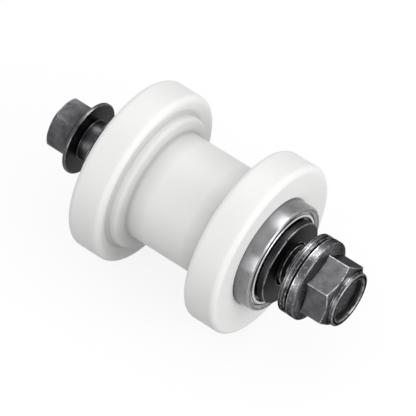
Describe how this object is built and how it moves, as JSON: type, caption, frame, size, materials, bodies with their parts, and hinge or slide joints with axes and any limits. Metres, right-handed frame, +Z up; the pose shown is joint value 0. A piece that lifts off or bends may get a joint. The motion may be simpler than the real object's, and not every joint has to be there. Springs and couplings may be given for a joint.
{
  "type": "grooved pulley",
  "caption": "White plastic spool roller with a plain groove between wide flanges, turning on ball bearings round a hexagon flange bolt with washers and a flanged lock nut.",
  "frame": {"origin": "on the axle, half way along the roller, at the middle of its groove", "axes": "+Y along the axle towards the nut; +Z up; +X completes the frame"},
  "size_m": [0.042, 0.0794, 0.042],
  "materials": {
    "white_nylon": "satin, as moulded",
    "bearing_steel": "ground, satin",
    "shield_steel": "pressed, dark",
    "ball_steel": "polished",
    "plain_steel": "turned",
    "black_steel": "black oxide, punched",
    "grey_oxide": "grey-black oxide, cold forged",
    "dark_zinc": "dark plated, cold forged, bright along worn edges",
    "dark_nylon": "moulded"
  },
  "bodies": {
    "bolt_set": {"flange_bolt": "grey_oxide", "lock_nut": "dark_zinc", "locking_ring": "dark_nylon", "nut_washer": "dark_zinc"},
    "bearing_core": {"nut_side_inner_ring": "bearing_steel", "head_side_inner_ring": "bearing_steel", "spacer_sleeve": "plain_steel", "nut_side_washer": "black_steel", "head_side_washer": "black_steel"},
    "roller": {"roller": "white_nylon", "nut_side_outer_ring": "bearing_steel", "head_side_outer_ring": "bearing_steel", "nut_side_outboard_shield": "shield_steel", "nut_side_inboard_shield": "shield_steel", "head_side_outboard_shield": "shield_steel", "head_side_inboard_shield": "shield_steel"},
    "nut_side_ball_set": {"nut_side_cage": "dark_nylon", "nut_side_ball_1": "ball_steel", "nut_side_ball_2": "ball_steel", "nut_side_ball_3": "ball_steel", "nut_side_ball_4": "ball_steel", "nut_side_ball_5": "ball_steel", "nut_side_ball_6": "ball_steel", "nut_side_ball_7": "ball_steel"},
    "head_side_ball_set": {"head_side_cage": "dark_nylon", "head_side_ball_1": "ball_steel", "head_side_ball_2": "ball_steel", "head_side_ball_3": "ball_steel", "head_side_ball_4": "ball_steel", "head_side_ball_5": "ball_steel", "head_side_ball_6": "ball_steel", "head_side_ball_7": "ball_steel"}
  },
  "joints": [
    {"name": "core_slide", "type": "slide", "parent": "bolt_set", "child": "bearing_core", "axis": [0, 1, 0], "range_m": [-0.0052, 0.0035]},
    {"name": "roller_spin", "type": "hinge", "parent": "bearing_core", "child": "roller", "pos_m": [0, 0, 0], "axis": [0, 1, 0], "continuous": true},
    {"name": "nut_side_cage_spin", "type": "hinge", "parent": "bearing_core", "child": "nut_side_ball_set", "pos_m": [0, 0, 0], "axis": [0, 1, 0], "continuous": true},
    {"name": "head_side_cage_spin", "type": "hinge", "parent": "bearing_core", "child": "head_side_ball_set", "pos_m": [0, 0, 0], "axis": [0, 1, 0], "continuous": true}
  ],
  "couplings": [
    {"joint": "nut_side_cage_spin", "follows": "roller_spin", "ratio": 0.63011},
    {"joint": "head_side_cage_spin", "follows": "roller_spin", "ratio": 0.63011}
  ]
}
